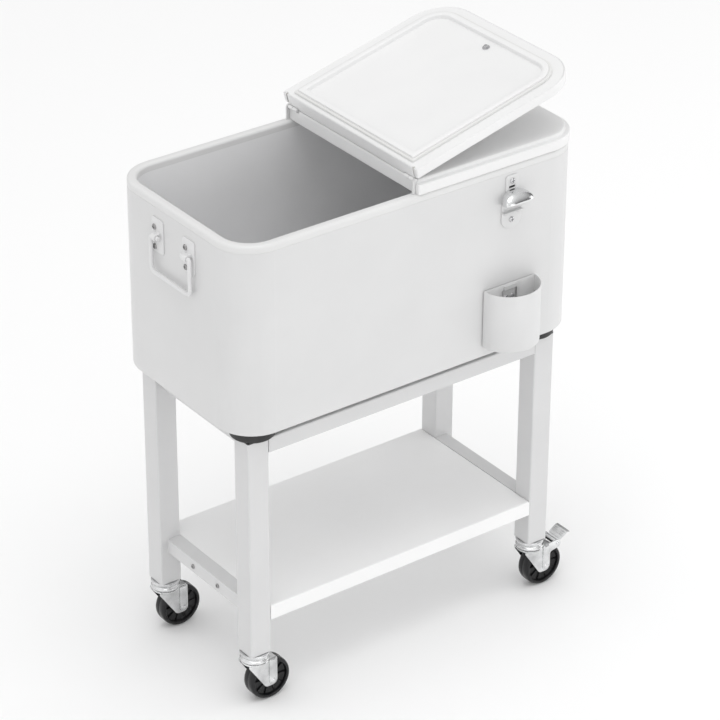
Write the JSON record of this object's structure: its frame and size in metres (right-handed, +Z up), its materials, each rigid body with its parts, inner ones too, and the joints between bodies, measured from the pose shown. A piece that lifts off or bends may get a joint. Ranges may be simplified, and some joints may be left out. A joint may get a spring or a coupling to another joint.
{
  "type": "rolling patio cooler",
  "caption": "Insulated tub with two flip-over lids on a four-legged cart with shelf, swivel casters, bottle opener, cap catcher and end handles.",
  "frame": {"origin": "on the floor, under the centre of the box that holds the whole cooler at rest", "axes": "+Z up; -Y out of the front face that carries the bottle opener; +X along the length towards the braked casters"},
  "size_m": [0.7967, 0.4702, 1.0965],
  "materials": {
    "frame_paint": "satin white powder coat",
    "tub_paint": "satin white powder coat on sheet steel",
    "handle_paint": "satin white powder coat on wire and stamped plate",
    "rim_plastic": "smooth white plastic",
    "liner_plastic": "smooth light grey plastic",
    "lid_lining": "satin white plastic",
    "foam": "closed-cell foam",
    "gasket_rubber": "soft white rubber",
    "black_plastic": "moulded black plastic",
    "caster_zinc": "bright zinc plated steel",
    "wheel_plastic": "black moulded tread and hub",
    "dark_screw": "blackened steel",
    "screw_chrome": "plated",
    "hood_chrome": "polished"
  },
  "bodies": {
    "cart": {"leg_front_left": "frame_paint", "leg_front_right": "frame_paint", "leg_back_left": "frame_paint", "leg_back_right": "frame_paint", "leg_sockets": "black_plastic", "upper_rail_left": "frame_paint", "upper_rail_right": "frame_paint", "lower_rail_left": "frame_paint", "lower_rail_right": "frame_paint", "upper_panel": "frame_paint", "lower_shelf": "frame_paint", "frame_screws": "dark_screw", "caster_stems": "caster_zinc"},
    "tub": {"tub_shell": "tub_paint", "tub_insulation": "foam", "tub_liner": "liner_plastic", "tub_rim": "rim_plastic", "tub_base": "tub_paint", "tub_feet": "black_plastic", "drain_spout": "liner_plastic", "opener_plate": "tub_paint", "opener_hood": "hood_chrome", "catcher_bracket": "tub_paint", "front_screws": "screw_chrome", "handle_brackets_left": "handle_paint", "handle_brackets_right": "handle_paint", "handle_screws": "dark_screw", "hinge_brackets": "tub_paint"},
    "caster_front_left": {"caster_fork_front_left": "caster_zinc", "axle_front_left": "caster_zinc"},
    "wheel_front_left": {"wheel_front_left": "wheel_plastic"},
    "caster_front_right": {"caster_fork_front_right": "caster_zinc", "axle_front_right": "caster_zinc"},
    "wheel_front_right": {"wheel_front_right": "wheel_plastic"},
    "caster_back_left": {"caster_fork_back_left": "caster_zinc", "axle_back_left": "caster_zinc"},
    "wheel_back_left": {"wheel_back_left": "wheel_plastic"},
    "caster_back_right": {"caster_fork_back_right": "caster_zinc", "axle_back_right": "caster_zinc"},
    "wheel_back_right": {"wheel_back_right": "wheel_plastic"},
    "pedal_front_right": {"brake_pedal_front_right": "caster_zinc"},
    "pedal_back_right": {"brake_pedal_back_right": "caster_zinc"},
    "bail_left": {"bail_left": "handle_paint"},
    "bail_right": {"bail_right": "handle_paint"},
    "catcher": {"cap_catcher": "tub_paint"},
    "drain_plug": {"drain_plug": "black_plastic"},
    "lid_right": {"lid_skin_right": "tub_paint", "lid_foam_right": "foam", "lid_liner_right": "lid_lining", "lid_lip_right": "lid_lining", "lid_gasket_right": "gasket_rubber", "lid_pull_right": "hood_chrome", "lid_pull_screw_right": "screw_chrome"},
    "lid_left": {"lid_skin_left": "tub_paint", "lid_foam_left": "foam", "lid_liner_left": "lid_lining", "lid_lip_left": "lid_lining", "lid_gasket_left": "gasket_rubber", "lid_pull_left": "hood_chrome", "lid_pull_screw_left": "screw_chrome"}
  },
  "joints": [
    {"name": "tub_lift", "type": "slide", "parent": "cart", "child": "tub", "axis": [0, 0, 1], "range_m": [0, 0.06]},
    {"name": "swivel_front_left", "type": "hinge", "parent": "cart", "child": "caster_front_left", "pos_m": [-0.32847, -0.12685, 0.09], "axis": [0, 0, 1], "continuous": true},
    {"name": "roll_front_left", "type": "hinge", "parent": "caster_front_left", "child": "wheel_front_left", "pos_m": [-0.30247, -0.12685, 0.0425], "axis": [0, 1, 0], "continuous": true},
    {"name": "swivel_front_right", "type": "hinge", "parent": "cart", "child": "caster_front_right", "pos_m": [0.31353, -0.12685, 0.09], "axis": [0, 0, 1], "continuous": true},
    {"name": "roll_front_right", "type": "hinge", "parent": "caster_front_right", "child": "wheel_front_right", "pos_m": [0.33953, -0.12685, 0.0425], "axis": [0, 1, 0], "continuous": true},
    {"name": "swivel_back_left", "type": "hinge", "parent": "cart", "child": "caster_back_left", "pos_m": [-0.32847, 0.16715, 0.09], "axis": [0, 0, 1], "continuous": true},
    {"name": "roll_back_left", "type": "hinge", "parent": "caster_back_left", "child": "wheel_back_left", "pos_m": [-0.30247, 0.16715, 0.0425], "axis": [0, 1, 0], "continuous": true},
    {"name": "swivel_back_right", "type": "hinge", "parent": "cart", "child": "caster_back_right", "pos_m": [0.31353, 0.16715, 0.09], "axis": [0, 0, 1], "continuous": true},
    {"name": "roll_back_right", "type": "hinge", "parent": "caster_back_right", "child": "wheel_back_right", "pos_m": [0.33953, 0.16715, 0.0425], "axis": [0, 1, 0], "continuous": true},
    {"name": "brake_front_right", "type": "hinge", "parent": "caster_front_right", "child": "pedal_front_right", "pos_m": [0.36853, -0.12685, 0.083], "axis": [0, 1, 0], "range_deg": [0, 16]},
    {"name": "brake_back_right", "type": "hinge", "parent": "caster_back_right", "child": "pedal_back_right", "pos_m": [0.36853, 0.16715, 0.083], "axis": [0, 1, 0], "range_deg": [0, 16]},
    {"name": "bail_swing_left", "type": "hinge", "parent": "tub", "child": "bail_left", "pos_m": [-0.39147, 0.02015, 0.888], "axis": [0, 1, 0], "range_deg": [0, 90]},
    {"name": "bail_swing_right", "type": "hinge", "parent": "tub", "child": "bail_right", "pos_m": [0.37653, 0.02015, 0.888], "axis": [0, -1, 0], "range_deg": [0, 90]},
    {"name": "catcher_lift", "type": "slide", "parent": "tub", "child": "catcher", "axis": [0, 0, 1], "range_m": [0, 0.014]},
    {"name": "drain_pull", "type": "slide", "parent": "tub", "child": "drain_plug", "axis": [0, 1, 0], "range_m": [0, 0.03]},
    {"name": "lid_right_hinge", "type": "hinge", "parent": "tub", "child": "lid_right", "pos_m": [-0.00747, 0.02015, 0.979], "axis": [0, -1, 0], "range_deg": [0, 165.86]},
    {"name": "lid_left_hinge", "type": "hinge", "parent": "lid_right", "child": "lid_left", "pos_m": [-0.00747, 0.02015, 0.979], "axis": [0, 1, 0], "range_deg": [-165.86, 0]}
  ]
}
